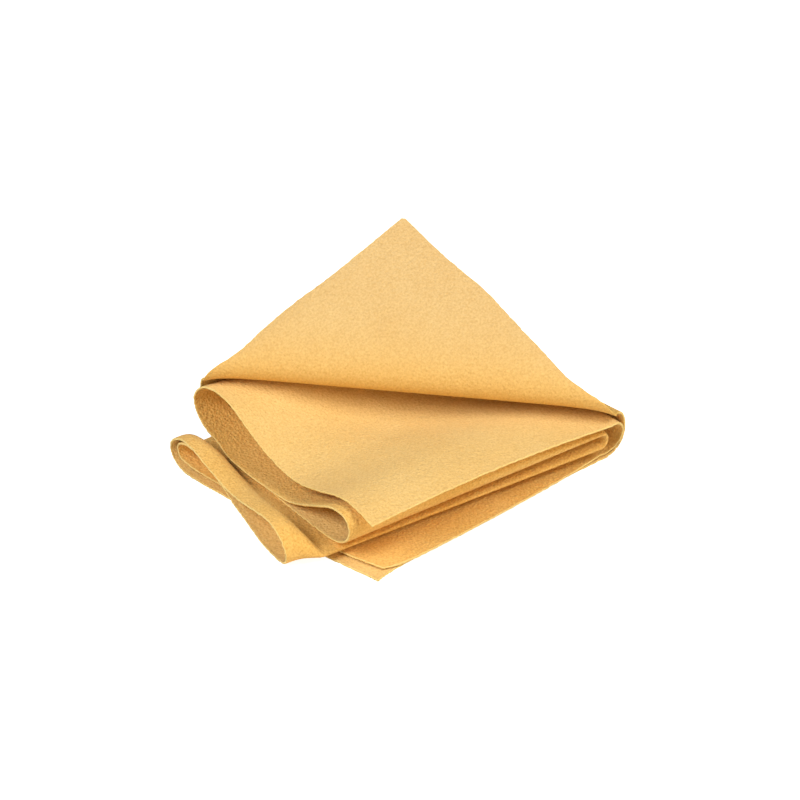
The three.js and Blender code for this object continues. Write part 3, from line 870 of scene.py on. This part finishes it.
# painted shade: a darker, greyer copy of the smooth felt, which evens out the stronger light on the tilted
# corner
TURNED_SHADED_TAN = felt_material(
    "turned_painted_shade_felt",
    deep=(0.765, 0.525, 0.23),
    pale=(0.785, 0.56, 0.26),
    fleck=(0.85, 0.78, 0.65),
    relief=0.0009,
    sheen=0.05,
)
PEBBLED_TAN = felt_material(
    "pebbled_tan_felt",
    deep=(0.88, 0.53, 0.14),
    pale=(0.91, 0.58, 0.18),
    fleck=(0.78, 0.68, 0.50),
    relief=0.0010,
    sheen=0.05,
)
CUT_TAN = felt_material(
    "cut_tan_felt",
    deep=(0.90, 0.65, 0.23),
    pale=(0.92, 0.69, 0.27),
    fleck=(0.92, 0.86, 0.74),
    relief=0.0006,
    sheen=0.0,
)
cloth_pieces = [upper_leaves, turned_leaf, right_fold, lower_leaves]
for piece in cloth_pieces:
    # the turned corner takes the painted-shade copy of the smooth felt
    smooth = TURNED_SHADED_TAN if piece is turned_leaf else SMOOTH_TAN
    for finish in (smooth, PEBBLED_TAN, CUT_TAN):
        piece.data.materials.append(finish)
    print(piece.name, "finishes:", [finish.name for finish in piece.data.materials])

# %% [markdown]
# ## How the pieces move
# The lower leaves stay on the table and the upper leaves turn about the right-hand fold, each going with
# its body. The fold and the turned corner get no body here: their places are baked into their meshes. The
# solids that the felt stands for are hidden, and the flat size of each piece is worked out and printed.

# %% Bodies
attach(lower_leaves, "lower_half")
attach(upper_leaves, "upper_half")
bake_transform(right_fold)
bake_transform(turned_leaf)

leaf_stretches = STRETCHES[1:]
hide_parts(*["upper_" + k for k in leaf_stretches])
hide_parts("upper_cover_leaf", "flap_crease", "corner_flap")
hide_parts(*["lower_" + k for k in STRETCHES])


def row_length(grid):
    """Mean length of the grid's rows, in metres."""
    return float(np.linalg.norm(np.diff(grid, axis=1), axis=-1).sum(1).mean()) * MM


def column_length(grid):
    """Mean length of the grid's columns, in metres."""
    return float(np.linalg.norm(np.diff(grid, axis=0), axis=-1).sum(0).mean()) * MM


upper_part = sheet_grid[: LEAF_ROWS + 1, cover_columns - 1 :]
fold_part = sheet_grid[LEAF_ROWS : LEAF_ROWS + 2 * FOLD_ROWS + 1]
lower_part = sheet_grid[LEAF_ROWS + 2 * FOLD_ROWS :]
flat = {
    "upper_leaves": (column_length(upper_part), row_length(upper_part)),
    "right_fold": (column_length(fold_part), row_length(fold_part)),
    "lower_leaves": (column_length(lower_part), row_length(lower_part)),
    "turned_leaf": (LEAF_WIDTH * MM, LEAF_DEPTH * MM),
}
for name, size in flat.items():
    print(name, "flat size", [round(v, 3) for v in size])

# %% [markdown]
# ## Floor, light and camera
# The photograph is a studio picture on pure white. The floor is white and shows itself as white to the
# camera, so that only the darkest of its shadow is left. Two broad lamps stand above, to the left and
# to the right. Two weak ones stand low in front, and they are a little warm, because the shade inside
# the folds is a warm orange.

# %% Floor and world
FLOOR_SIZE = 4.0
NEAR_GLOW = 0.85  # glow near the cloth and far from it, and the radii in metres
FAR_GLOW = 1.0
NEAR_RADIUS = 0.25
FAR_RADIUS = 0.7
FLOOR_GREY = 0.82
SHADE_LIGHT = 0.015  # the world's light on the cloth
floor_mesh = bpy.data.meshes.new("floor")
floor_corners = np.array([[-1, -1, 0], [1, -1, 0], [1, 1, 0], [-1, 1, 0]]) * FLOOR_SIZE / 2
floor_mesh.from_pydata(floor_corners.tolist(), [], [[0, 1, 2, 3]])
floor = bpy.data.objects.new("floor", floor_mesh)
bpy.context.scene.collection.objects.link(floor)


def seen_directly(tree):
    """A socket that is 1 for what is seen, directly, by reflection or through glass, and else 0.

    It is the largest of the three Light Path outputs, so light on the cloth gets 0.
    """
    path = tree.nodes.new("ShaderNodeLightPath")
    seen = path.outputs["Is Camera Ray"]
    for ray in ("Is Glossy Ray", "Is Transmission Ray"):
        either = tree.nodes.new("ShaderNodeMath")
        either.operation = "MAXIMUM"
        tree.links.new(seen, either.inputs[0])
        tree.links.new(path.outputs[ray], either.inputs[1])
        seen = either.outputs["Value"]
    return seen


def floor_finish():
    """A matt floor that glows where it is seen, evenly from the near glow at one radius to the far one."""
    material = bpy.data.materials.new("white_floor")
    material.use_nodes = True
    nodes, links = material.node_tree.nodes, material.node_tree.links
    nodes.clear()
    output = nodes.new("ShaderNodeOutputMaterial")
    matt = nodes.new("ShaderNodeBsdfDiffuse")
    matt.inputs["Color"].default_value = (FLOOR_GREY, FLOOR_GREY, FLOOR_GREY, 1)
    glow = nodes.new("ShaderNodeEmission")
    glow.inputs["Color"].default_value = (*WHITE, 1)
    place = nodes.new("ShaderNodeTexCoord")
    radius = nodes.new("ShaderNodeVectorMath")
    radius.operation = "LENGTH"
    links.new(place.outputs["Object"], radius.inputs[0])
    level = nodes.new("ShaderNodeMapRange")
    level.inputs["From Min"].default_value = NEAR_RADIUS
    level.inputs["From Max"].default_value = FAR_RADIUS
    level.inputs["To Min"].default_value = NEAR_GLOW
    level.inputs["To Max"].default_value = FAR_GLOW
    links.new(radius.outputs["Value"], level.inputs["Value"])
    amount = nodes.new("ShaderNodeMath")
    amount.operation = "MULTIPLY"
    links.new(seen_directly(material.node_tree), amount.inputs[0])
    links.new(level.outputs["Result"], amount.inputs[1])
    links.new(amount.outputs["Value"], glow.inputs["Strength"])
    both = nodes.new("ShaderNodeAddShader")
    links.new(matt.outputs["BSDF"], both.inputs[0])
    links.new(glow.outputs["Emission"], both.inputs[1])
    links.new(both.outputs["Shader"], output.inputs["Surface"])
    return material


def studio_world():
    """A world whose strength is 1 where it is seen, and only the shade light elsewhere."""
    world = bpy.data.worlds.new("white_studio")
    world.use_nodes = True
    nodes, links = world.node_tree.nodes, world.node_tree.links
    sky = nodes["Background"]
    sky.inputs["Color"].default_value = (*WHITE, 1)
    strength = nodes.new("ShaderNodeMapRange")
    strength.inputs["To Min"].default_value = SHADE_LIGHT
    strength.inputs["To Max"].default_value = 1.0
    links.new(seen_directly(world.node_tree), strength.inputs["Value"])
    links.new(strength.outputs["Result"], sky.inputs["Strength"])
    return world


floor_mesh.materials.append(floor_finish())
bpy.context.scene.world = studio_world()
print("floor", FLOOR_SIZE, "m wide, world light on the cloth", SHADE_LIGHT)


# %% Lamps
def aim(obj, place, target):
    """Puts obj at a place and turns its -Z axis to the target, by a pitch about X and a heading about Z."""
    direction = np.array(target, float) - np.array(place, float)
    obj.location = place
    pitch = np.arctan2(np.hypot(direction[0], direction[1]), -direction[2])
    obj.rotation_euler = (pitch, 0, np.arctan2(direction[1], direction[0]) - np.pi / 2)


PLAIN_LIGHT = (1.0, 1.0, 1.0)
WARM_LIGHT = (1.0, 0.8, 0.48)
LAMP_SIZE = 0.9
LAMP_TARGET = (0, 0, 0.03)


def soft_lamp(name, place, watts, color):
    """A round area lamp at a place, facing the middle of the cloth."""
    lamp = bpy.data.lights.new(name, "AREA")
    lamp.color = color
    lamp.shape = "DISK"
    lamp.size = LAMP_SIZE
    lamp.energy = watts
    holder = bpy.data.objects.new(name, lamp)
    bpy.context.scene.collection.objects.link(holder)
    aim(holder, place, LAMP_TARGET)
    print(name, watts, "W")


soft_lamp("left_lamp", (-1.2, 0.1, 1.1), 18.0, PLAIN_LIGHT)
soft_lamp("right_lamp", (0.55, -0.75, 1.3), 14.5, PLAIN_LIGHT)
soft_lamp("low_lamp", (0.5, -1.35, 0.5), 7.0, WARM_LIGHT)
soft_lamp("front_lamp", (-0.9, -1.15, 0.45), 4.5, WARM_LIGHT)

# %% Camera
CAMERA_AZIMUTH = np.radians(-38.0)
CAMERA_ELEVATION = np.radians(31.0)
CAMERA_DISTANCE = 1.3
CAMERA_TARGET = np.array([0.03365, 0.0484, 0.0])
SENSOR = 36.0
FRAME_PIXELS = 800
PIXEL_SIZE = 0.55 * MM
FOCAL_PIXELS = CAMERA_DISTANCE / PIXEL_SIZE
away = np.array(
    [
        np.sin(CAMERA_AZIMUTH) * np.cos(CAMERA_ELEVATION),
        -np.cos(CAMERA_AZIMUTH) * np.cos(CAMERA_ELEVATION),
        np.sin(CAMERA_ELEVATION),
    ]
)
camera_data = bpy.data.cameras.new("photo_camera")
camera_data.sensor_width = SENSOR
camera_data.lens = SENSOR * FOCAL_PIXELS / FRAME_PIXELS
camera = bpy.data.objects.new("photo_camera", camera_data)
bpy.context.scene.collection.objects.link(camera)
aim(camera, tuple(CAMERA_TARGET + CAMERA_DISTANCE * away), tuple(CAMERA_TARGET))
bpy.context.scene.camera = camera
bpy.context.scene.view_settings.view_transform = "Standard"
print("camera lens", round(camera_data.lens, 1), "mm at", CAMERA_DISTANCE, "m")
